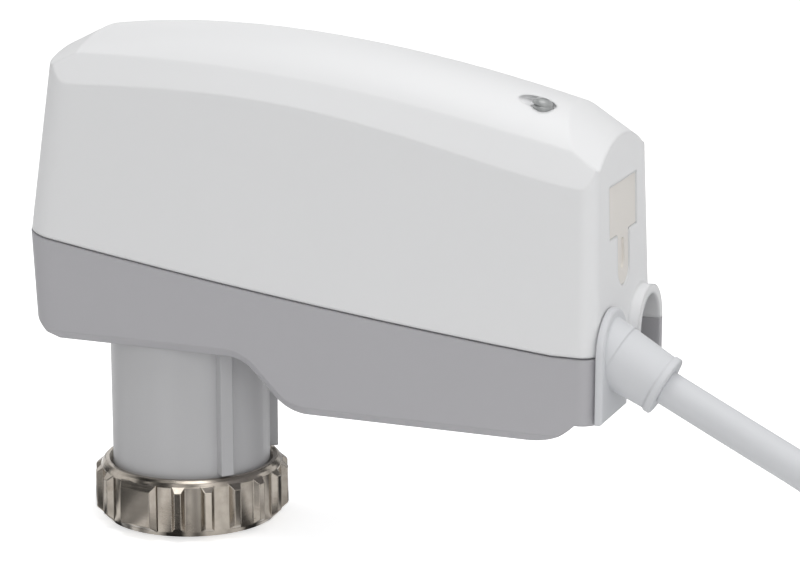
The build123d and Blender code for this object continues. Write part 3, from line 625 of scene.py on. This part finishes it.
def area_lamp(power, name, size, place, aim):
    """A round lamp that faces its aim."""
    lamp = bpy.data.lights.new(name, "AREA")
    lamp.shape = "DISK"
    lamp.energy = power
    lamp.size = size
    holder = bpy.data.objects.new(name, lamp)
    bpy.context.scene.collection.objects.link(holder)
    holder.location = place
    holder.rotation_euler = (Vector(aim) - Vector(place)).to_track_quat("-Z", "Y").to_euler()


class ACTUATOR_OT_stage(bpy.types.Operator):
    """Lay the pale floor and light it softly"""

    bl_idname = "actuator.stage"
    bl_label = "Stage and lamps"

    def execute(self, context):
        settings = context.scene.actuator_stage
        mesh = bpy.data.meshes.new("floor")
        sheet = bmesh.new()
        bmesh.ops.create_grid(sheet, x_segments=1, y_segments=1, size=FLOOR_HALF,
                              matrix=Matrix.Translation((0, 0, LOW.z - FLOOR_GAP)))
        sheet.to_mesh(mesh)
        sheet.free()
        floor = bpy.data.objects.new("floor", mesh)
        context.scene.collection.objects.link(floor)
        mesh.materials.append(backdrop_material())
        world = bpy.data.worlds.new("studio")
        world.use_nodes = True
        nodes, links = world.node_tree.nodes, world.node_tree.links
        nodes["Background"].inputs["Color"].default_value = (1, 1, 1, 1)
        direction = nodes.new("ShaderNodeTexCoord").outputs["Generated"]
        shade = dark_screens(nodes, links, direction, *SKY_SCREENS)
        strength = maths(nodes, links, seen_directly(nodes, links, settings.sky, 1.0), shade, "MULTIPLY")
        links.new(strength, nodes["Background"].inputs["Strength"])
        context.scene.world = world
        powers = (settings.key_power, settings.side_power, settings.end_power)
        for power, lamp in zip(powers, LAMPS):
            area_lamp(power, *lamp)
        context.scene.view_settings.view_transform = "Standard"
        return {"FINISHED"}


class ACTUATOR_PT_panel(bpy.types.Panel):
    """Settings and steps for the valve actuator"""

    bl_idname = "ACTUATOR_PT_panel"
    bl_label = "Valve Actuator"
    bl_space_type = "VIEW_3D"
    bl_region_type = "UI"
    bl_category = "Actuator"

    def draw(self, context):
        layout = self.layout
        scene = context.scene
        for group in (scene.actuator_finish, scene.actuator_lead, scene.actuator_stage):
            for name in group.bl_rna.properties.keys():
                if name not in ("rna_type", "name"):
                    layout.prop(group, name)
        for step in STEPS:
            layout.operator(step.bl_idname)


STEPS = (
    ACTUATOR_OT_camera, ACTUATOR_OT_lead_finish, ACTUATOR_OT_lead, ACTUATOR_OT_housing_finish,
    ACTUATOR_OT_nut_finish, ACTUATOR_OT_small_finish, ACTUATOR_OT_light_cap, ACTUATOR_OT_drive_finish,
    ACTUATOR_OT_stage,
)
GROUPS = (LeadSettings, FinishSettings, StageSettings)


def register():
    """Registers the classes and hangs the settings on the scene."""
    for made in (*GROUPS, *STEPS, ACTUATOR_PT_panel):
        bpy.utils.register_class(made)
    bpy.types.Scene.actuator_lead = PointerProperty(type=LeadSettings)
    bpy.types.Scene.actuator_finish = PointerProperty(type=FinishSettings)
    bpy.types.Scene.actuator_stage = PointerProperty(type=StageSettings)


def unregister():
    """Takes the settings and the classes away again."""
    del bpy.types.Scene.actuator_lead
    del bpy.types.Scene.actuator_finish
    del bpy.types.Scene.actuator_stage
    for made in reversed((*GROUPS, *STEPS, ACTUATOR_PT_panel)):
        bpy.utils.unregister_class(made)


def main():
    """Registers the add-on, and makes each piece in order."""
    register()
    bpy.ops.actuator.camera()
    bpy.ops.actuator.lead_finish()
    bpy.ops.actuator.lead()
    bpy.ops.actuator.housing_finish()
    bpy.ops.actuator.nut_finish()
    bpy.ops.actuator.small_finish()
    bpy.ops.actuator.light_cap()
    bpy.ops.actuator.drive_finish()
    bpy.ops.actuator.stage()


if __name__ == "__main__":
    main()
